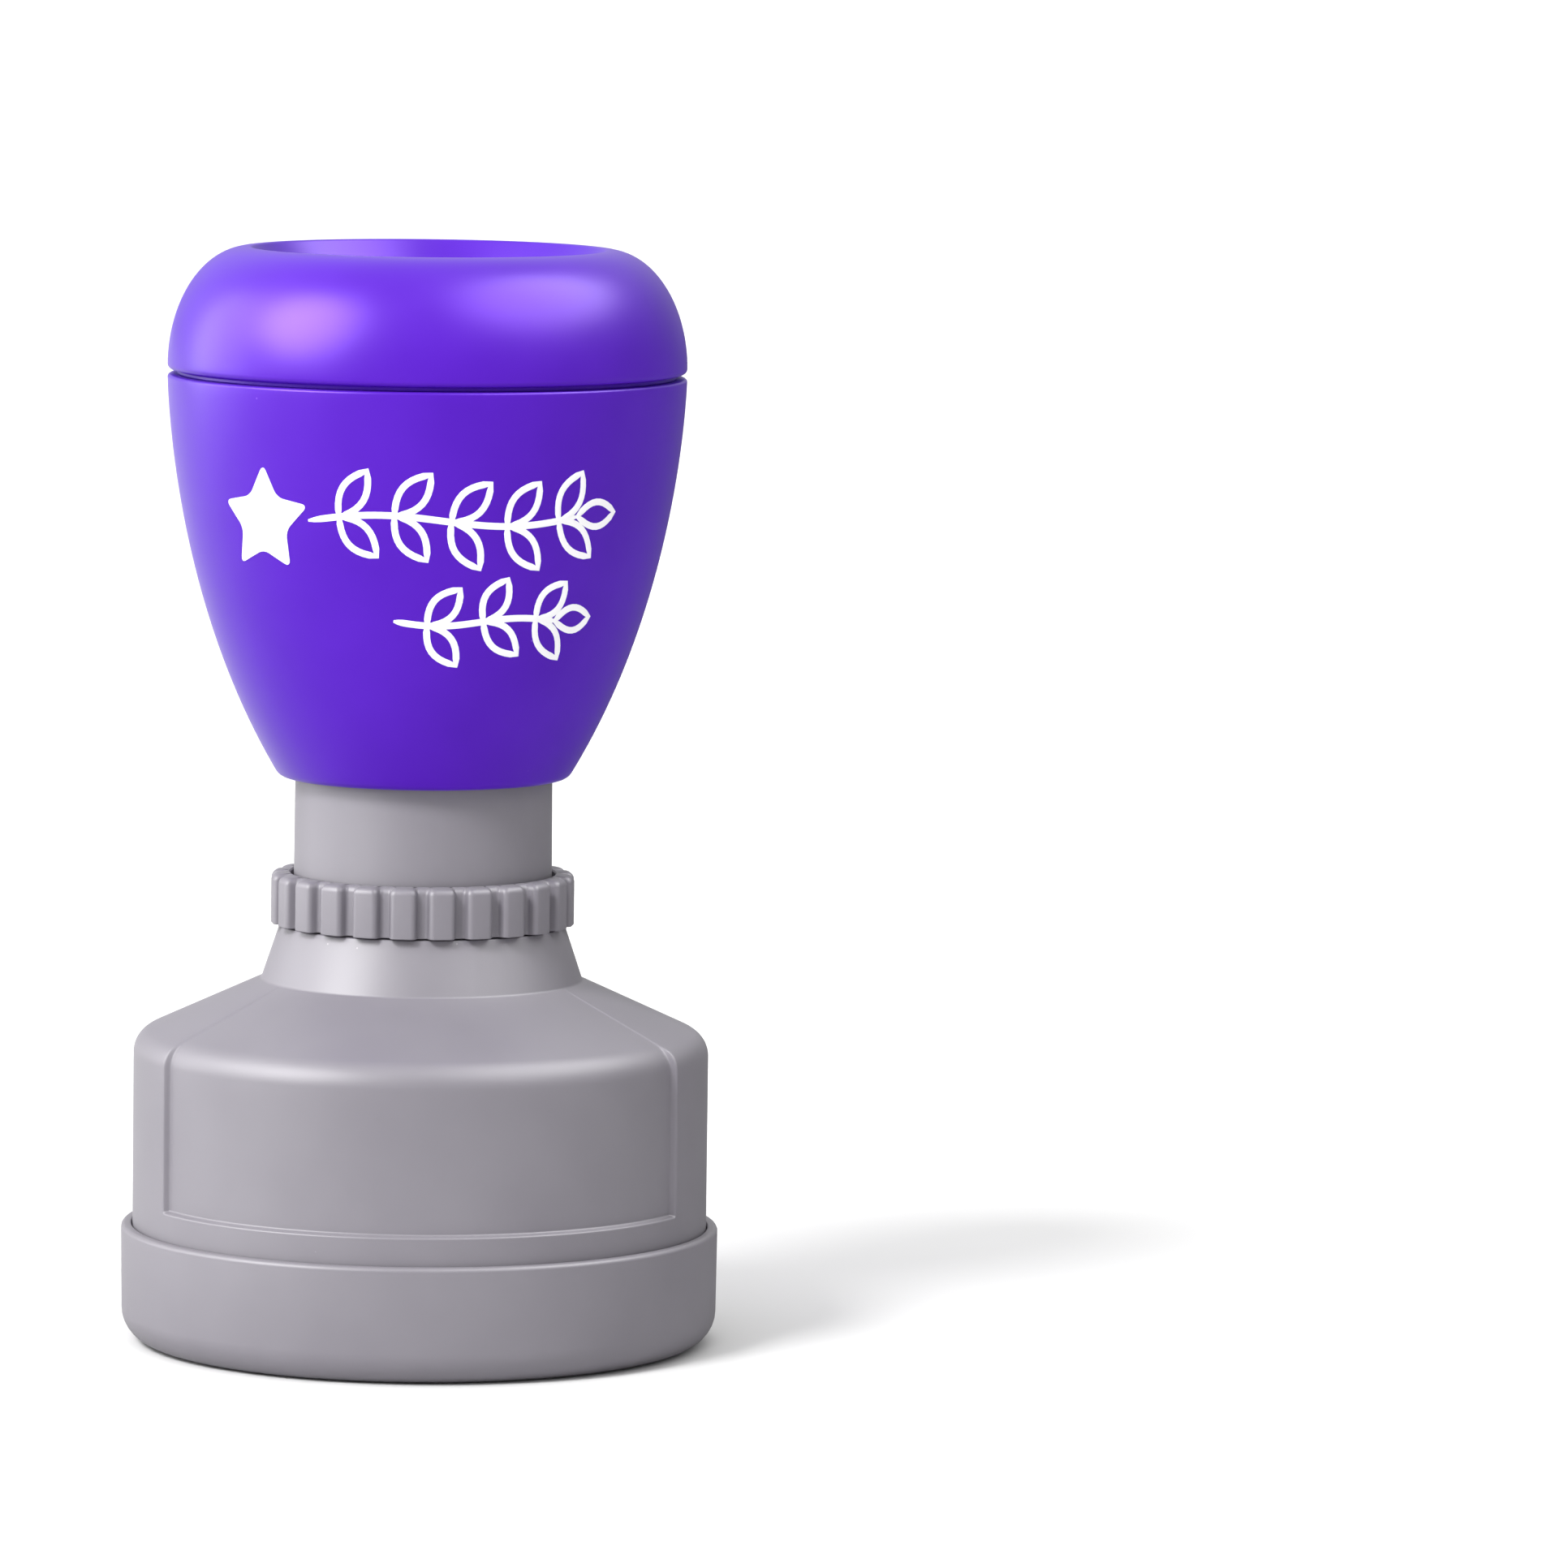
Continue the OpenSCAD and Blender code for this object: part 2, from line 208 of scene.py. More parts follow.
def floor_paper():
    """Pale paper with a painted shade in its reflections: glossy pieces see it darker towards the
    right.
    """
    pale, reflected_shade = (0.73, 0.73, 0.73), (0.12, 0.12, 0.12)
    shade_from, shade_to = -60 * MM, 60 * MM
    material, tree, shader = new_material("floor_paper", pale, 0.9)
    shader.inputs["Specular IOR Level"].default_value = 0.1
    place = tree.nodes.new("ShaderNodeTexCoord")
    split = tree.nodes.new("ShaderNodeSeparateXYZ")
    tree.links.new(place.outputs["Object"], split.inputs["Vector"])
    seen = tree.nodes.new("ShaderNodeLightPath")
    # painted shade: for glossy rays only, the paper's colour darkens from pale towards the right,
    # so reflections in the pieces are darker on that side
    side = value_range(tree, split.outputs["X"], 0, 1, shade_from, shade_to)
    share = tree.nodes.new("ShaderNodeMath")
    share.operation = "MULTIPLY"
    tree.links.new(side, share.inputs[0])
    tree.links.new(seen.outputs["Is Glossy Ray"], share.inputs[1])
    tree.links.new(blend_colour(tree, share.outputs[0], pale, reflected_shade), shader.inputs["Base Color"])
    return material


def add_group_socket(group, name, way, kind="NodeSocketFloat", value=None):
    socket = group.interface.new_socket(name=name, in_out=way, socket_type=kind)
    if value is not None:
        socket.default_value = value


def moulded_grain():
    """Fine spark grain, slow drift of tone and a few pale dust specks, in object space."""
    group = bpy.data.node_groups.new("Moulded grain", "ShaderNodeTree")
    add_group_socket(group, "Grain size", "INPUT", value=0.16)
    add_group_socket(group, "Drift size", "INPUT", value=9.0)
    add_group_socket(group, "Speck share", "INPUT", value=0.5)
    add_group_socket(group, "Height", "OUTPUT")
    add_group_socket(group, "Drift", "OUTPUT")
    add_group_socket(group, "Specks", "OUTPUT")
    nodes, links = group.nodes, group.links
    given = nodes.new("NodeGroupInput")
    out = nodes.new("NodeGroupOutput")
    place = nodes.new("ShaderNodeTexCoord")

    def scale_of(size_name):
        """Texture scale for a feature size given in millimetres."""
        divide = nodes.new("ShaderNodeMath")
        divide.operation = "DIVIDE"
        divide.inputs[0].default_value = 1 / MM
        links.new(given.outputs[size_name], divide.inputs[1])
        return divide.outputs[0]

    grain = nodes.new("ShaderNodeTexNoise")
    grain.inputs["Detail"].default_value = 3
    grain.inputs["Roughness"].default_value = 0.6
    links.new(place.outputs["Object"], grain.inputs["Vector"])
    links.new(scale_of("Grain size"), grain.inputs["Scale"])
    links.new(grain.outputs["Fac"], out.inputs["Height"])

    drift = nodes.new("ShaderNodeTexNoise")
    drift.inputs["Detail"].default_value = 2
    links.new(place.outputs["Object"], drift.inputs["Vector"])
    links.new(scale_of("Drift size"), drift.inputs["Scale"])
    links.new(drift.outputs["Fac"], out.inputs["Drift"])

    cell_size, speck_edge, speck_core = 2.6 * MM, 0.036, 0.016
    cells = nodes.new("ShaderNodeTexVoronoi")
    cells.inputs["Scale"].default_value = 1 / cell_size
    links.new(place.outputs["Object"], cells.inputs["Vector"])
    near = nodes.new("ShaderNodeMapRange")
    near.inputs["From Min"].default_value = speck_edge
    near.inputs["From Max"].default_value = speck_core
    links.new(cells.outputs["Distance"], near.inputs["Value"])
    pick = nodes.new("ShaderNodeMath")
    pick.operation = "LESS_THAN"
    split = nodes.new("ShaderNodeSeparateColor")
    links.new(cells.outputs["Color"], split.inputs["Color"])
    links.new(split.outputs["Red"], pick.inputs[0])
    links.new(given.outputs["Speck share"], pick.inputs[1])
    both = nodes.new("ShaderNodeMath")
    both.operation = "MULTIPLY"
    links.new(near.outputs["Result"], both.inputs[0])
    links.new(pick.outputs[0], both.inputs[1])
    links.new(both.outputs[0], out.inputs["Specks"])
    return group


def place_group(tree, group, **values):
    """Puts a group in a material, with its own values for the named inputs."""
    node = tree.nodes.new("ShaderNodeGroup")
    node.node_tree = group
    for name, value in values.items():
        node.inputs[name.replace("_", " ")].default_value = value
    return node


def blend_colour(tree, factor, low, high):
    """Colour that runs from low to high with a factor socket."""
    mix = tree.nodes.new("ShaderNodeMix")
    mix.data_type = "RGBA"
    mix.inputs["A"].default_value = (*low, 1)
    mix.inputs["B"].default_value = (*high, 1)
    tree.links.new(factor, mix.inputs["Factor"])
    return mix.outputs["Result"]


def value_range(tree, factor, low, high, start=0.0, end=1.0):
    """Number that runs from low to high as a factor socket runs from start to end."""
    span = tree.nodes.new("ShaderNodeMapRange")
    span.inputs["From Min"].default_value = start
    span.inputs["From Max"].default_value = end
    span.inputs["To Min"].default_value = low
    span.inputs["To Max"].default_value = high
    tree.links.new(factor, span.inputs["Value"])
    return span.outputs["Result"]


def add_bump(tree, shader, height, depth_mm):
    bump = tree.nodes.new("ShaderNodeBump")
    bump.inputs["Distance"].default_value = depth_mm * MM
    tree.links.new(height, bump.inputs["Height"])
    tree.links.new(bump.outputs["Normal"], shader.inputs["Normal"])


def moulded_plastic(name, low, high, speck, rough, grain, depth_mm, speck_share):
    """Moulded plastic: two tones that drift into each other, fine grain and a few specks."""
    material, tree, shader = new_material(name, high, sum(rough) / 2)
    look = place_group(tree, GRAIN, Grain_size=grain, Speck_share=speck_share)
    share = value_range(tree, look.outputs["Drift"], 0, 1, *DRIFT_SPAN)
    tone = blend_colour(tree, share, low, high)
    dusty = tree.nodes.new("ShaderNodeMix")
    dusty.data_type = "RGBA"
    dusty.inputs["B"].default_value = (*speck, 1)
    tree.links.new(look.outputs["Specks"], dusty.inputs["Factor"])
    tree.links.new(tone, dusty.inputs["A"])
    tree.links.new(dusty.outputs["Result"], shader.inputs["Base Color"])
    roughness = value_range(tree, look.outputs["Drift"], *rough, *DRIFT_SPAN)
    tree.links.new(roughness, shader.inputs["Roughness"])
    add_bump(tree, shader, look.outputs["Height"], depth_mm)
    return material, shader


def purple_gloss():
    material, shader = moulded_plastic(
        "purple_gloss", (0.068, 0.0070, 0.405), (0.076, 0.0085, 0.44), (0.18, 0.07, 0.58),
        (0.34, 0.38), 0.35, 0.0012, 0.12)
    shader.inputs["Specular IOR Level"].default_value = 0.34
    shader.inputs["Specular Tint"].default_value = (0.6, 0.35, 1, 1)
    return material


def grey_satin():
    material, shader = moulded_plastic(
        "grey_satin", (0.185, 0.174, 0.199), (0.199, 0.188, 0.213), (0.31, 0.30, 0.32),
        (0.46, 0.52), 0.14, 0.0035, 0.25)
    shader.inputs["IOR"].default_value = 1.3
    shader.inputs["Specular IOR Level"].default_value = 0.8
    return material


def natural_white():
    material, shader = moulded_plastic(
        "natural_white", (0.74, 0.74, 0.70), (0.80, 0.80, 0.77), (0.6, 0.6, 0.58),
        (0.4, 0.46), 0.2, 0.003, 0.2)
    shader.inputs["Subsurface Weight"].default_value = 0.1
    shader.inputs["Subsurface Scale"].default_value = 0.0015
    return material


def black_satin():
    material, _ = moulded_plastic(
        "black_satin", (0.017, 0.017, 0.019), (0.024, 0.024, 0.026), (0.1, 0.1, 0.1),
        (0.4, 0.5), 0.15, 0.004, 0.25)
    return material


def soft_black_rubber():
    material, _ = moulded_plastic(
        "soft_black_rubber", (0.018, 0.018, 0.019), (0.03, 0.03, 0.031), (0.12, 0.12, 0.12),
        (0.62, 0.75), 0.1, 0.008, 0.4)
    return material


def print_ink():
    material, _ = moulded_plastic(
        "print_ink", (0.88, 0.87, 0.90), (0.93, 0.93, 0.94), (0.8, 0.78, 0.86),
        (0.42, 0.5), 0.25, 0.002, 0.2)
    return material


def inked_rubber():
    """Die rubber: pale where it is cut back, wet with ink on the raised design."""
    material, tree, shader = new_material("inked_rubber", (0.3, 0.25, 0.42), 0.6)
    look = place_group(tree, GRAIN, Grain_size=0.2, Drift_size=5.0)
    place = tree.nodes.new("ShaderNodeTexCoord")
    split = tree.nodes.new("ShaderNodeSeparateXYZ")
    tree.links.new(place.outputs["Object"], split.inputs["Vector"])
    face_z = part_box("stamp_die")[0].z
    wet_from, dry_from = face_z + 0.15 * MM, face_z + 0.45 * MM
    wet = value_range(tree, split.outputs["Z"], 1, 0, wet_from, dry_from)
    dry = blend_colour(tree, look.outputs["Drift"], (0.30, 0.24, 0.46), (0.20, 0.13, 0.38))
    mix = tree.nodes.new("ShaderNodeMix")
    mix.data_type = "RGBA"
    mix.inputs["B"].default_value = (0.06, 0.012, 0.26, 1)
    tree.links.new(dry, mix.inputs["A"])
    tree.links.new(wet, mix.inputs["Factor"])
    tree.links.new(mix.outputs["Result"], shader.inputs["Base Color"])
    tree.links.new(value_range(tree, wet, 0.62, 0.28), shader.inputs["Roughness"])
    add_bump(tree, shader, look.outputs["Height"], 0.01)
    return material


def ink_felt():
    material, tree, shader = new_material("ink_felt", (0.09, 0.02, 0.3), 0.85)
    look = place_group(tree, GRAIN, Grain_size=0.3, Drift_size=3.0)
    tone = blend_colour(tree, look.outputs["Height"], (0.05, 0.01, 0.2), (0.13, 0.04, 0.38))
    tree.links.new(tone, shader.inputs["Base Color"])
    add_bump(tree, shader, look.outputs["Height"], 0.12)
    return material


def drawn_steel(name, colour, rough):
    """Drawn wire or plated steel with fine marks along its turns."""
    material, tree, shader = new_material(name, colour, rough, 1.0)
    look = place_group(tree, GRAIN, Grain_size=0.12, Drift_size=2.5)
    roughness = value_range(tree, look.outputs["Drift"], rough - 0.08, rough + 0.1, *DRIFT_SPAN)
    tree.links.new(roughness, shader.inputs["Roughness"])
    dark = tuple(0.82 * c for c in colour)
    tone = blend_colour(tree, look.outputs["Drift"], dark, colour)
    tree.links.new(tone, shader.inputs["Base Color"])
    add_bump(tree, shader, look.outputs["Height"], 0.002)
    return material


# ---------------------------------------------------------------- outlines

def rounded(corners, closed=True):
    """Points of an outline whose corners are (r, z) or (r, z, fillet), each fillet an arc."""
    points = []
    count = len(corners)
    for i, corner in enumerate(corners):
        here = Vector(corner[:2])
        fillet = corner[2] if len(corner) > 2 else 0
        if not fillet or (not closed and i in (0, count - 1)):
            points.append(here)
            continue
        before = (Vector(corners[i - 1][:2]) - here).normalized()
        after = (Vector(corners[(i + 1) % count][:2]) - here).normalized()
        half = before.angle(after) / 2
        middle = here + (before + after).normalized() * fillet / math.sin(half)
        start = here + before * fillet / math.tan(half) - middle
        end = here + after * fillet / math.tan(half) - middle
        turn = math.copysign(math.pi - 2 * half, start.x * end.y - start.y * end.x)
        steps = max(2, round(abs(turn) / ARC_STEP))
        points += [middle + Matrix.Rotation(turn * k / steps, 2) @ start for k in range(steps + 1)]
    return points


def curve(a, b, c, d, steps):
    """Points of a cubic curve through four control points."""
    a, b, c, d = Vector(a), Vector(b), Vector(c), Vector(d)
    shares = [i / steps for i in range(steps + 1)]
    return [(1 - t) ** 3 * a + 3 * (1 - t) ** 2 * t * b + 3 * (1 - t) * t * t * c + t ** 3 * d
            for t in shares]


HANDLE_SIDE = curve((11.1, cup_low.z), (18.2, 55.3), (19.7, 69), (handle_r, cup_high.z), 40)


def side_radius(height):
    """Radius of the handle cup's side at a height."""
    for low, high in zip(HANDLE_SIDE, HANDLE_SIDE[1:]):
        if height <= high.y:
            share = (height - low.y) / (high.y - low.y)
            return low.x + (high.x - low.x) * share
    return HANDLE_SIDE[-1].x


# ---------------------------------------------------------------- mesh work

def begin(name, add, **options):
    """Adds a primitive with nothing else selected, names it and opens it for editing."""
    bpy.ops.object.select_all(action="DESELECT")
    add(**options)
    piece = bpy.context.object
    piece.name = piece.data.name = name
    bpy.ops.object.transform_apply(location=True, rotation=True, scale=True)
    bpy.ops.object.mode_set(mode="EDIT")
    return piece


def close_up(piece):
    """Merges doubles, points the faces outwards, leaves edit mode and shades the piece."""
    bpy.ops.mesh.select_all(action="SELECT")
    bpy.ops.mesh.remove_doubles(threshold=DOUBLES)
    bpy.ops.mesh.normals_make_consistent(inside=False)
    bpy.ops.object.mode_set(mode="OBJECT")
    bpy.ops.object.shade_smooth_by_angle(angle=SMOOTH)
    return piece


def pick_out(piece):
    """Selects one object alone and makes it the active one."""
    bpy.ops.object.select_all(action="DESELECT")
    piece.select_set(True)
    bpy.context.view_layer.objects.active = piece


def turned(name, outline, closed=True, steps=AROUND):
    """A piece turned about the Z axis from an outline of (r, z) points in millimetres."""
    piece = begin(name, bpy.ops.mesh.primitive_plane_add, size=MM, location=(0, 0, 0))
    bpy.ops.mesh.merge(type="CENTER")
    points = [Vector((r, 0, z)) * MM for r, z in outline]
    bpy.ops.transform.translate(value=points[0])
    path = points[1:] + points[:1] if closed else points[1:]
    last = points[0]
    for point in path:
        bpy.ops.mesh.extrude_region_move(TRANSFORM_OT_translate={"value": point - last})
        last = point
    bpy.ops.mesh.select_all(action="SELECT")
    bpy.ops.mesh.remove_doubles(threshold=DOUBLES)
    bpy.ops.mesh.spin(steps=steps, angle=2 * math.pi, center=(0, 0, 0), axis=(0, 0, 1))
    return close_up(piece)


def cut_away(piece, tool, operation):
    """Cuts a piece with a tool shape, which is then removed."""
    pick_out(piece)
    cut = piece.modifiers.new("cut", "BOOLEAN")
    cut.operation, cut.solver, cut.object = operation, "EXACT", tool
    bpy.ops.object.modifier_apply(modifier=cut.name)
    bpy.data.objects.remove(tool)
    bpy.ops.object.mode_set(mode="EDIT")
    close_up(piece)


def round_wire(name, radius):
    """A curve that becomes a round wire with closed ends."""
    wire = bpy.data.curves.new(name, "CURVE")
    wire.dimensions = "3D"
    wire.bevel_depth = radius
    wire.bevel_resolution = 3
    wire.use_fill_caps = True
    return wire


def mesh_of_wire(wire):
    """Makes the wire a mesh piece of the same name."""
    piece = bpy.data.objects.new(wire.name, wire)
    bpy.context.scene.collection.objects.link(piece)
    pick_out(piece)
    bpy.ops.object.convert(target="MESH")
    return piece


def finish_piece(piece, body, node, material):
    """Gives a piece its material and body, and lets it stand for its CAD node."""
    piece.data.materials.clear()
    piece.data.materials.append(material)
    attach(piece, body)
    if node:
        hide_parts(node)


# ---------------------------------------------------------------- dust cap and sleeve

def make_dust_cap():
    base_r = cap_high.x - 0.1
    bore_r = skirt_r + 0.08
    ledge_z, floor_z = sleeve_low.z, 1.4
    outline = rounded([
        (0, 0.15), (1.1, 0.15, 0.1), (1.3, 0, 0.1), (base_r, 0, 2.5),
        (cap_high.x, cap_high.z, 0.36), (bore_r, cap_high.z, 0.14),
        (bore_r, ledge_z, 0.15), (skirt_in_r, ledge_z, 0.2),
        (skirt_in_r, floor_z, 0.3), (0, floor_z)], closed=False)
    piece = turned("dust_cap_shell", outline, closed=False)
    finish_piece(piece, "base", "dust_cap", GREY)


def shoulder_line(fillet, sunk, sunk_slope):
    """Outer line of the sleeve from the panels' foot to the collar, sunk on skirt and shoulder."""
    radius = skirt_r - sunk
    drop = sunk_slope / math.cos(shoulder_slope)
    corner_z = shoulder_corner_z - drop + sunk * math.tan(shoulder_slope)
    turn = math.pi / 2 - shoulder_slope
    start_z = corner_z - fillet * math.tan(turn / 2)
    foot = [panel_z + rise for rise in (-0.6, -0.2, -0.12, -0.06, 0, 0.06, 0.12, 0.2, 0.6)]
    skirt = [Vector((radius, z)) for z in foot]
    skirt += [Vector((radius, foot[-1] + (start_z - foot[-1]) * k / 8)) for k in range(1, 8)]
    arc = [Vector((radius - fillet + fillet * math.cos(turn * k / 12),
                   start_z + fillet * math.sin(turn * k / 12))) for k in range(13)]
    end = Vector((collar_base_r + sunk_slope,
                  collar_base_z - drop - sunk_slope * math.tan(shoulder_slope)))
    slope = [arc[-1].lerp(end, k / 8) for k in range(1, 8)]
    return skirt + arc + slope + [end]


def smooth_step(value):
    value = min(1, max(0, value))
    return value * value * (3 - 2 * value)


def sink_panels(piece, plain, sunk):
    """Presses the front and back panels into the sleeve, with soft side steps and a foot ledge."""
    half_foot, on_line = 0.12, 0.02
    for vertex in piece.data.vertices:
        x, y, z = vertex.co / MM
        radius = math.hypot(x, y)
        gaps = [abs(point.x - radius) + abs(point.y - z) for point in plain]
        near = gaps.index(min(gaps))
        if gaps[near] > on_line:
            continue
        angle = math.atan2(abs(x), abs(y))
        side = smooth_step((panel_half_angle + panel_half_step - angle) / (2 * panel_half_step))
        rise = smooth_step((plain[near].y - panel_z + half_foot) / (2 * half_foot))
        to_r, to_z = plain[near].lerp(sunk[near], side * rise)
        vertex.co = Vector((x * to_r / radius, y * to_r / radius, to_z)) * MM


def cut_columns():
    """Adds columns of edges across the panels' side steps, by planes through the axis."""
    bpy.ops.object.mode_set(mode="EDIT")
    for edge in (panel_half_angle, -panel_half_angle):
        for k in (-4, -3, -2, -1, 1, 2, 3, 4):
            angle = edge + k * panel_half_step / 4
            bpy.ops.mesh.select_all(action="SELECT")
            bpy.ops.mesh.bisect(plane_co=(0, 0, 0),
                                plane_no=(math.cos(angle), math.sin(angle), 0), threshold=1e-6)
    bpy.ops.object.mode_set(mode="OBJECT")


def make_sleeve():
    plain = shoulder_line(2.0, 0, 0)
    sunk = shoulder_line(2.3, 0.45, 0.07)
    roof_z = shoulder_corner_z - skirt_wall / math.cos(shoulder_slope)
    roof_in_r, web_r = 10.8, 9.3
    climb = math.tan(shoulder_slope)
    outline = rounded([(skirt_in_r, sleeve_low.z, 0.3), (skirt_r, sleeve_low.z, 0.3),
                       (skirt_r, panel_z - 1)])[:-1]
    outline += plain[:-1]
    outline += rounded([
        plain[-2], (collar_base_r, collar_base_z, 0.35), (collar_top_r, collar_top_z, 0.15),
        (thread_r, collar_top_z, 0.1), (thread_r, web_top_z, 0.1),
        (neck_r + neck_draft, web_top_z + 0.25, 0.1),
        (neck_r - neck_draft, sleeve_high.z - 0.5, 0.2),
        (neck_r - 0.5, sleeve_high.z, 0.2),
        (neck_in_r, sleeve_high.z, 0.2), (neck_in_r, web_top_z, 0.3),
        (stem_bore_r, web_top_z, 0.15), (stem_bore_r, web_z, 0.15), (web_r, web_z, 0.4),
        (roof_in_r, roof_z + (skirt_r - roof_in_r) * climb, 0.5),
        (skirt_in_r, roof_z + (skirt_r - skirt_in_r) * climb, 1.2),
        (skirt_in_r, sleeve_low.z + 1)], closed=False)[1:]
    piece = turned("sleeve_shell", outline)
    slot_length, slot_width, slot_depth = 10.7 * MM, 2.2 * MM, 5 * MM
    bpy.ops.object.select_all(action="DESELECT")
    bpy.ops.mesh.primitive_cube_add(size=1, location=(0, 0, (web_z + web_top_z) / 2 * MM),
                                    scale=(slot_length, slot_width, slot_depth))
    cut_away(piece, bpy.context.object, "DIFFERENCE")
    cut_columns()
    sink_panels(piece, plain, sunk)
    bpy.ops.object.shade_smooth_by_angle(angle=SMOOTH_SLEEVE)
    finish_piece(piece, "sleeve", "outer_sleeve", GREY)


# ---------------------------------------------------------------- adjusting ring

TEETH = 24


def tooth_line(draw_in):
    """Outer line of the toothed ring in order of angle, drawn in by a distance."""
    tip_r, valley_r, middle_r = ring_high.x - draw_in, 10.87 - draw_in, 11.3
    narrower = 0.6 * draw_in
    half_tip, half_foot = 0.93 - narrower, 1.1 - narrower
    half_pitch = math.pi * middle_r / TEETH
    tooth = rounded([(-half_pitch, valley_r), (-half_foot, valley_r, 0.25),
                     (-half_tip, tip_r, 0.42), (half_tip, tip_r, 0.42),
                     (half_foot, valley_r, 0.25), (half_pitch, valley_r)], closed=False)[:-1]
    turns = [(i + 0.5) * 2 * math.pi / TEETH for i in range(TEETH)]
    return [Vector((radius * math.cos(turn + along / middle_r),
                    radius * math.sin(turn + along / middle_r)))
            for turn in turns for along, radius in tooth]


def place_loop(piece, line, z):
    """Moves the selected loop of vertices, in order of angle, onto a line at a height."""
    just_below_x = 0.01  # so that the vertex on the X axis comes first

    def order(vertex):
        return (math.atan2(vertex.co.y, vertex.co.x) + just_below_x) % (2 * math.pi)

    shape = bmesh.from_edit_mesh(piece.data)
    chosen = sorted((vertex for vertex in shape.verts if vertex.select), key=order)
    for vertex, (x, y) in zip(chosen, line):
        vertex.co = Vector((x, y, z)) * MM
    bmesh.update_edit_mesh(piece.data)


def make_ring():
    """The toothed ring: one loop carried up its outside, over its top and down its bore."""
    bottom, top = ring_low.z, ring_high.z
    bore_r, lead, top_edge, foot_edge = thread_r + 0.08, 0.1, 0.55, 0.06
    foot = tooth_line(foot_edge)
    bore = [point.normalized() * bore_r for point in foot]
    mouth = [point.normalized() * (bore_r + lead) for point in foot]
    levels = [(tooth_line(0), bottom + foot_edge)]
    edge_steps = 5
    for k in range(edge_steps + 1):
        turn = math.pi / 2 * k / edge_steps
        levels.append((tooth_line(top_edge * (1 - math.cos(turn))),
                       top - top_edge * (1 - math.sin(turn))))
    levels += [(mouth, top), (bore, top - lead), (bore, bottom + lead), (mouth, bottom),
               (foot, bottom)]
    piece = begin("toothed_ring", bpy.ops.mesh.primitive_circle_add, vertices=len(foot),
                  radius=ring_high.x * MM, location=(0, 0, bottom * MM))
    place_loop(piece, foot, bottom)
    for line, z in levels:
        bpy.ops.mesh.extrude_region_move(TRANSFORM_OT_translate={"value": (0, 0, 0)})
        place_loop(piece, line, z)
    close_up(piece)
    finish_piece(piece, "ring", "adjusting_ring", GREY)


# ---------------------------------------------------------------- handle

def make_handle_cup():
    rim = cup_high.z
    socket_r, socket_z = 18.28, 69.0
    floor_z, web_low, web_high = 50.0, 60.5, 62.5
    tube_r = 11.4
    guide_r = neck_r + 0.08
    bolt_r = 3.03
    side = HANDLE_SIDE[1:-1]
    inner = [p - Vector((handle_wall, 0)) for p in side if floor_z + 0.6 < p.y < socket_z - 0.4]
    corners = [(guide_r, cup_low.z, 0.25), (11.1, cup_low.z, 0.9)]
    corners += [tuple(p) for p in side if p.y < rim - 0.6]
    corners += [(handle_r, rim, 0.22), (socket_r, rim, 0.2), (socket_r, socket_z, 0.2),
                (side_radius(socket_z) - handle_wall, socket_z, 0.1)]
    corners += [tuple(p) for p in reversed(inner)]
    corners += [(side_radius(floor_z) - handle_wall, floor_z, 0.4), (tube_r, floor_z, 0.4),
                (tube_r, web_high, 0.5), (bolt_r, web_high, 0.15), (bolt_r, web_low, 0.15),
                (guide_r, web_low, 0.4)]
    piece = turned("handle_cup_shell", rounded(corners))
    finish_piece(piece, "plunger", "handle_cup", PURPLE)


def make_handle_cap():
    skirt_z = cup_high.z + seam
    land_r = 19.1
    tenon_r = 18.2
    dome_r, dome_z = handle_r - lip_r, skirt_z + 0.3
    dome_h = top_high.z - dome_z
    dish = 2.9

    def dome(angle, thinner=0.0):
        return Vector((lip_r + (dome_r - thinner) * math.cos(angle),
                       dome_z + (dome_h - thinner * 1.2) * math.sin(angle)))

    roof_z = top_high.z - dish - handle_wall
    outline = [Vector((0, roof_z)), Vector((7.5, roof_z))]
    outline += [dome(math.radians(a), handle_wall) for a in range(80, -1, -10)]
    outer = [dome(math.radians(a)) for a in range(3, 91, 3)]
    outline += rounded([
        (tenon_r - handle_wall, dome_z - 0.8), (tenon_r - handle_wall, top_low.z, 0.3),
        (tenon_r, top_low.z, 0.4), (tenon_r, cup_high.z, 0.1), (land_r, cup_high.z, 0.1),
        (land_r, skirt_z, 0.15), (handle_r, skirt_z, 0.4), tuple(outer[0])], closed=False)[:-1]
    outline += outer
    wall_top = Vector((lip_r - 0.2, top_high.z))
    wall_foot = Vector((lip_r - 1.25, top_high.z - 1.5))
    outline += rounded([outer[-1], (*wall_top, 0.3), tuple(wall_foot)], closed=False)[1:-1]
    outline += curve(wall_foot, wall_foot + (wall_foot - wall_top) * 0.7,
                     (8.5, top_high.z - dish), (0, top_high.z - dish), 24)
    piece = turned("handle_cap_shell", outline, closed=False)
    finish_piece(piece, "top", "handle_cap", PURPLE)


# ---------------------------------------------------------------- print on the handle

def on_handle(along, height, lift):
    """Point over the handle's front, in metres, from millimetres along it, up it and off it."""
    radius = side_radius(height) + lift
    angle = along / side_radius(height) - math.pi / 2
    return Vector((radius * math.cos(angle), radius * math.sin(angle), height)) * MM


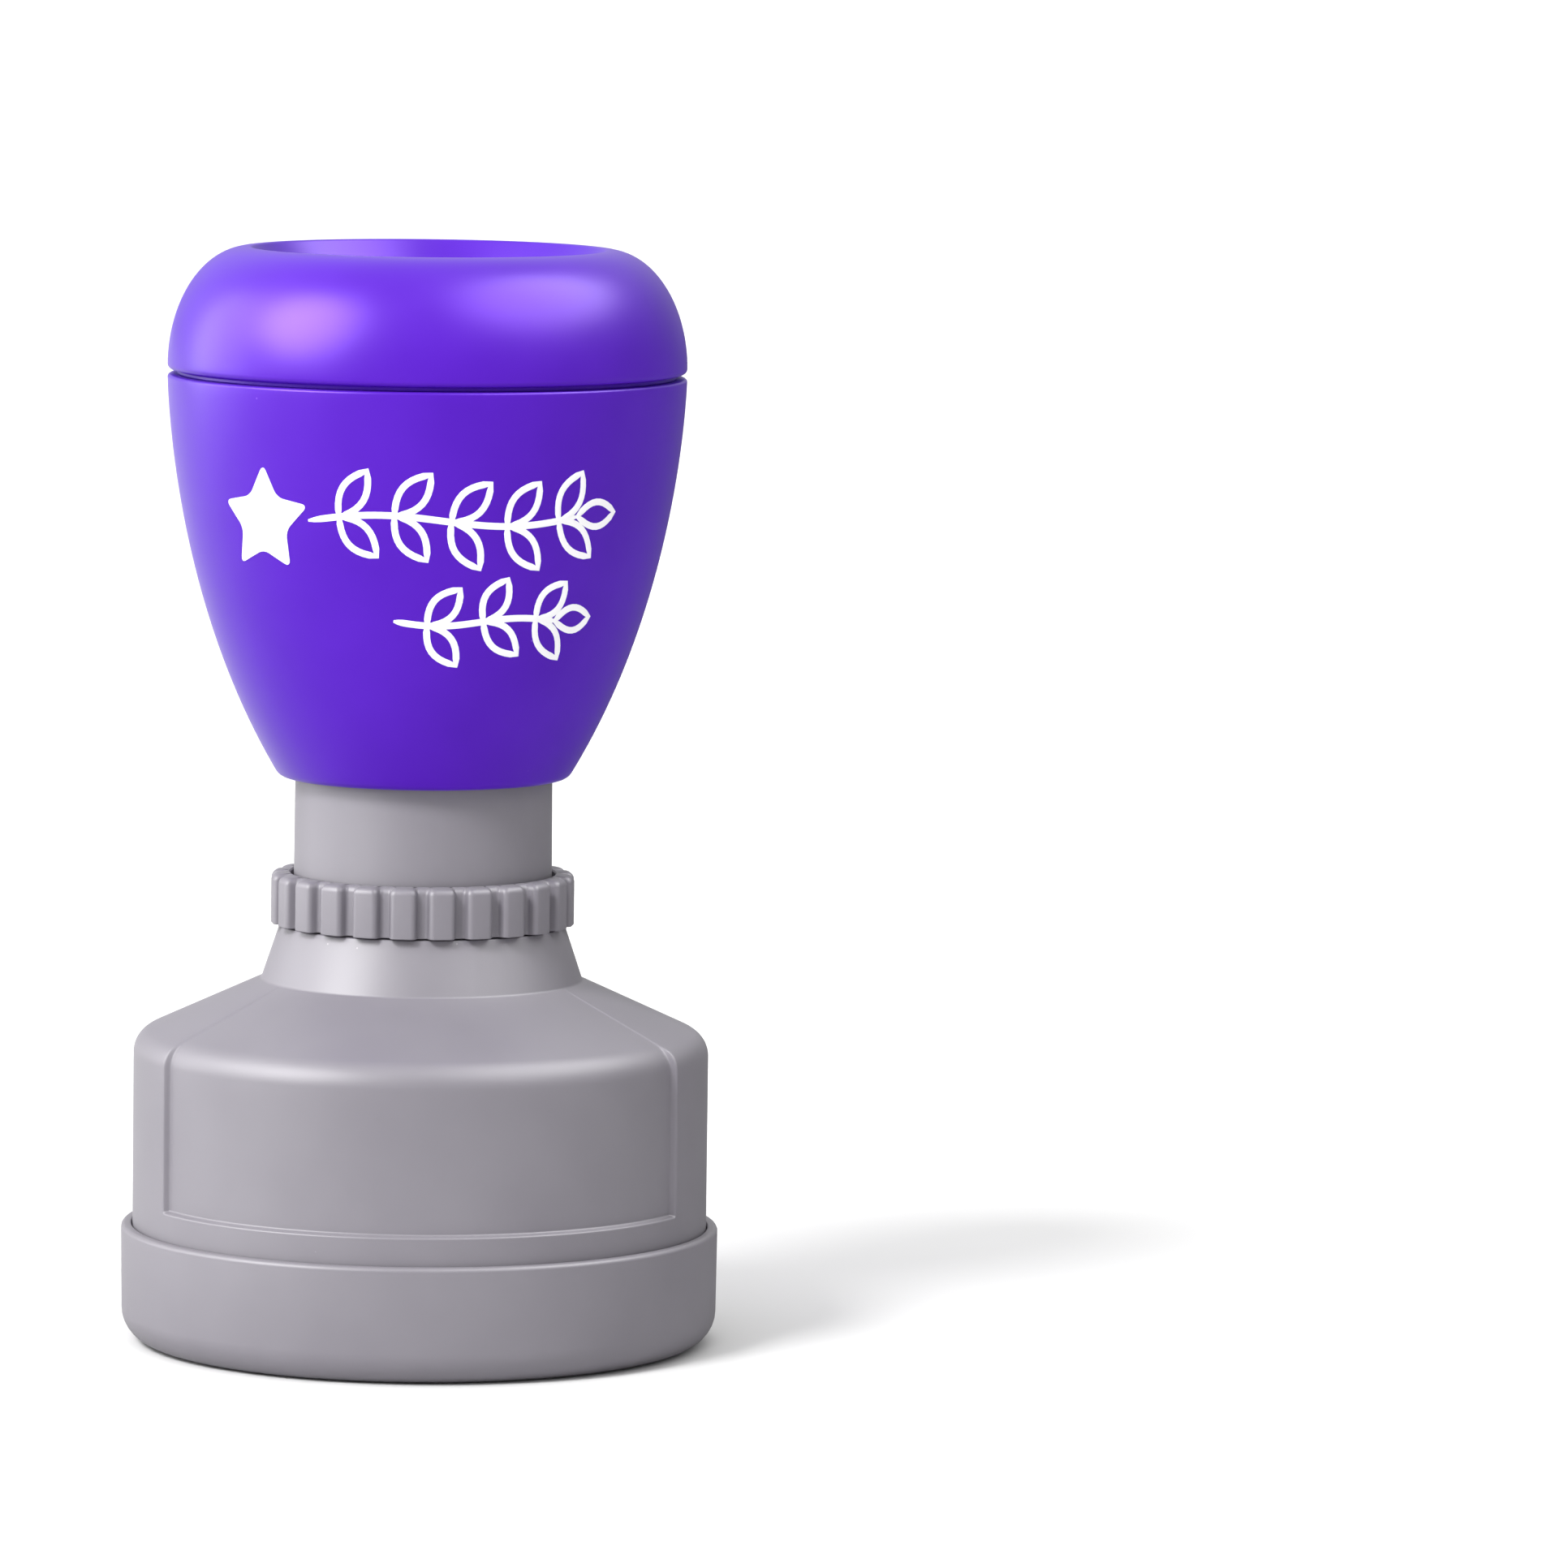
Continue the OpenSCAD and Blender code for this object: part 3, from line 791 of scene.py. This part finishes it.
def make_star():
    """A plain filled star at the left of the print."""
    middle = (-13.3, 64.4)
    far, close = 4.3, 2.25
    piece = begin("print_star", bpy.ops.mesh.primitive_circle_add, vertices=10, radius=1,
                  fill_type="NGON", location=(0, 0, 0))
    shape = bmesh.from_edit_mesh(piece.data)
    for vertex in shape.verts:
        spoke = round((math.atan2(vertex.co.y, vertex.co.x) - math.pi / 2) / (math.pi / 5)) % 10
        size = close if spoke % 2 else far
        vertex.co = vertex.co.normalized() * size
    bmesh.update_edit_mesh(piece.data)
    bpy.ops.mesh.select_all(action="SELECT")
    bpy.ops.mesh.bevel(offset=0.55, segments=4, affect="VERTICES")
    bpy.ops.mesh.select_all(action="SELECT")
    bpy.ops.mesh.poke()
    bpy.ops.mesh.subdivide(number_cuts=5)
    bpy.ops.object.mode_set(mode="OBJECT")
    for vertex in piece.data.vertices:
        vertex.co = on_handle(middle[0] + vertex.co.x, middle[1] + vertex.co.y, 0.02)
    thicken(piece, 0.04)
    finish_piece(piece, "plunger", None, INK)


def thicken(piece, thickness):
    """Gives a sheet of print its thickness outwards."""
    bpy.ops.object.mode_set(mode="EDIT")
    bpy.ops.mesh.select_all(action="SELECT")
    bpy.ops.mesh.normals_make_consistent(inside=False)
    bpy.ops.object.mode_set(mode="OBJECT")
    wall = piece.modifiers.new("wall", "SOLIDIFY")
    wall.thickness = thickness * MM
    wall.offset = 0
    bpy.ops.object.modifier_apply(modifier=wall.name)
    bpy.ops.object.shade_smooth_by_angle(angle=SMOOTH)


def leaf(foot, angle, length, width):
    """Closed line of a pointed leaf that grows from foot at an angle."""
    half = [(length * t / 10, width / 2 * math.sin(math.pi * t / 10) ** 0.85) for t in range(11)]
    line = half + [(x, -y) for x, y in half[-2:0:-1]]
    turn = Matrix.Rotation(angle, 2)
    return [Vector(foot) + turn @ Vector(point) for point in line]


def sprig(start, end, wave, leaves, length, width):
    """Strokes of a sprig: a waving stem with leaves on both sides and one at its tip."""
    start, end = Vector(start), Vector(end)
    span = end - start

    def stem(t):
        return start + span * t + Vector((0, wave * math.sin(2 * math.pi * t)))

    strokes = [([stem(k / 40) for k in range(41)], False)]
    for i in range(leaves):
        share = (i + 0.6) / leaves
        foot = stem(share)
        rise = math.atan2(*reversed(stem(share + 0.02) - stem(share - 0.02)))
        for side in (1, -1):
            strokes.append((leaf(foot, rise + side * math.radians(52), length, width), True))
    strokes.append((leaf(end, 0.05, length * 0.9, width), True))
    return strokes


def make_sprigs():
    """Two rows of leafy sprigs beside the star, drawn with one even stroke."""
    strokes = sprig((-9.2, 64.6), (12.2, 65.0), 0.5, 5, 4.1, 1.9)
    strokes += sprig((-2.4, 57.1), (10.4, 57.0), -0.3, 3, 3.7, 1.8)
    lines = round_wire("print_sprigs", 0.27)
    for points, closed in strokes:
        spline = lines.splines.new("POLY")
        spline.points.add(len(points) - 1)
        spline.use_cyclic_u = closed
        for place, point in zip(spline.points, points):
            place.co = (point.x, 0, point.y, 1)
        if not closed:
            for k, share in enumerate((0.35, 0.75, 0.95)):
                spline.points[k].radius = spline.points[-1 - k].radius = share
    piece = mesh_of_wire(lines)
    flat = 0.15
    for vertex in piece.data.vertices:
        vertex.co = on_handle(vertex.co.x, vertex.co.z, -vertex.co.y * flat)
    bpy.ops.object.mode_set(mode="EDIT")
    close_up(piece)
    finish_piece(piece, "plunger", None, INK)


# ---------------------------------------------------------------- inner pieces

def make_clamp_ring():
    low, high = clamp_low.z, clamp_high.z
    lip_in_r, lip_top_z, bore_r = 17.35, 10.5, 19.48
    outline = rounded([
        (lip_in_r, low, 0.15), (clamp_high.x, low, 0.4), (clamp_high.x, high, 0.15),
        (bore_r, high, 0.1), (bore_r, lip_top_z, 0.1), (lip_in_r, lip_top_z, 0.15)])
    piece = turned("die_clamp_ring", outline)
    finish_piece(piece, "plunger", "die_ring", BLACK)


def make_plug():
    low, top = plug_low.z, plug_high.z
    flange_z, shank_r = 69.0, 1.85
    outline = rounded([
        (0, low), (shank_r, low, 0.5), (shank_r, flange_z, 0.1), (plug_high.x, flange_z, 0.3),
        (plug_high.x, flange_z + 1.2, 0.45), (1.15, flange_z + 1.25, 0.3),
        (1.0, top - 1.2, 0.2), (1.45, top - 0.7, 0.2), (1.3, top, 0.4), (0, top)], closed=False)
    piece = turned("ink_plug", outline, closed=False, steps=72)
    finish_piece(piece, "plug", "filler_plug", RUBBER)


def make_nut():
    low, high = nut_low.z, nut_high.z
    corner_r = nut_high.x
    flats_r = corner_r * math.cos(math.pi / 6)
    bore_r, lead, chamfer = 3.03, 0.35, 0.45
    piece = turned("plated_nut", [
        (bore_r, low + lead), (bore_r + lead, low), (flats_r - 0.1, low),
        (corner_r, low + chamfer), (corner_r, high - chamfer), (flats_r - 0.1, high),
        (bore_r + lead, high), (bore_r, high - lead)], steps=96)
    bpy.ops.object.select_all(action="DESELECT")
    bpy.ops.mesh.primitive_cylinder_add(
        vertices=6, radius=corner_r * MM, depth=2 * (high - low) * MM,
        location=(0, 0, (low + high) / 2 * MM), rotation=(0, 0, math.pi / 6))
    cut_away(piece, bpy.context.object, "INTERSECT")
    finish_piece(piece, "plunger", "stem_nut", ZINC)


def make_spring():
    """The return spring, with close end turns; on the real stamp it shortens as the handle goes
    down.
    """
    wire_r = 0.45
    coil_r = spring_high.x - wire_r
    turns, steps_a_turn = 9, 48
    low, high = spring_low.z + wire_r, spring_high.z - wire_r
    open_rise = (high - low - 4 * wire_r) / (turns - 2)

    def height(turn):
        if turn < 1:
            return low + 2 * wire_r * turn
        if turn > turns - 1:
            return high - 2 * wire_r * (turns - turn)
        return low + 2 * wire_r + open_rise * (turn - 1)

    wire = round_wire("coil_spring", wire_r * MM)
    spline = wire.splines.new("POLY")
    count = turns * steps_a_turn
    spline.points.add(count)
    for k, place in enumerate(spline.points):
        angle = 2 * math.pi * turns * k / count
        place.co = (coil_r * math.cos(angle) * MM, coil_r * math.sin(angle) * MM,
                    height(turns * k / count) * MM, 1)
    piece = mesh_of_wire(wire)
    bpy.ops.object.mode_set(mode="EDIT")
    close_up(piece)
    finish_piece(piece, "sleeve", "return_spring", STEEL)
    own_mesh(piece)


def paint_cad_nodes():
    """Finishes of the CAD nodes that stay."""
    finishes = {
        "plunger_stem": WHITE, "lower_spring_washer": WHITE, "upper_spring_seat": WHITE,
        "stop_bumper": RUBBER, "nut_washer": ZINC, "die_holder": WHITE, "ink_pad": FELT,
        "pressure_plate": WHITE, "stamp_die": DIE}
    for name, material in finishes.items():
        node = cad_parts[name]
        node.data.materials.clear()
        node.data.materials.append(material)


GRAIN = moulded_grain()
add_camera()
add_studio()

GREY = grey_satin()
PURPLE = purple_gloss()
WHITE = natural_white()
BLACK = black_satin()
RUBBER = soft_black_rubber()
INK = print_ink()
DIE = inked_rubber()
FELT = ink_felt()
STEEL = drawn_steel("drawn_steel", (0.52, 0.53, 0.55), 0.3)
ZINC = drawn_steel("zinc_plate", (0.58, 0.58, 0.60), 0.34)

make_dust_cap()
make_sleeve()
make_ring()
make_handle_cup()
make_handle_cap()
make_star()
make_sprigs()
make_clamp_ring()
make_plug()
make_nut()
make_spring()
paint_cad_nodes()
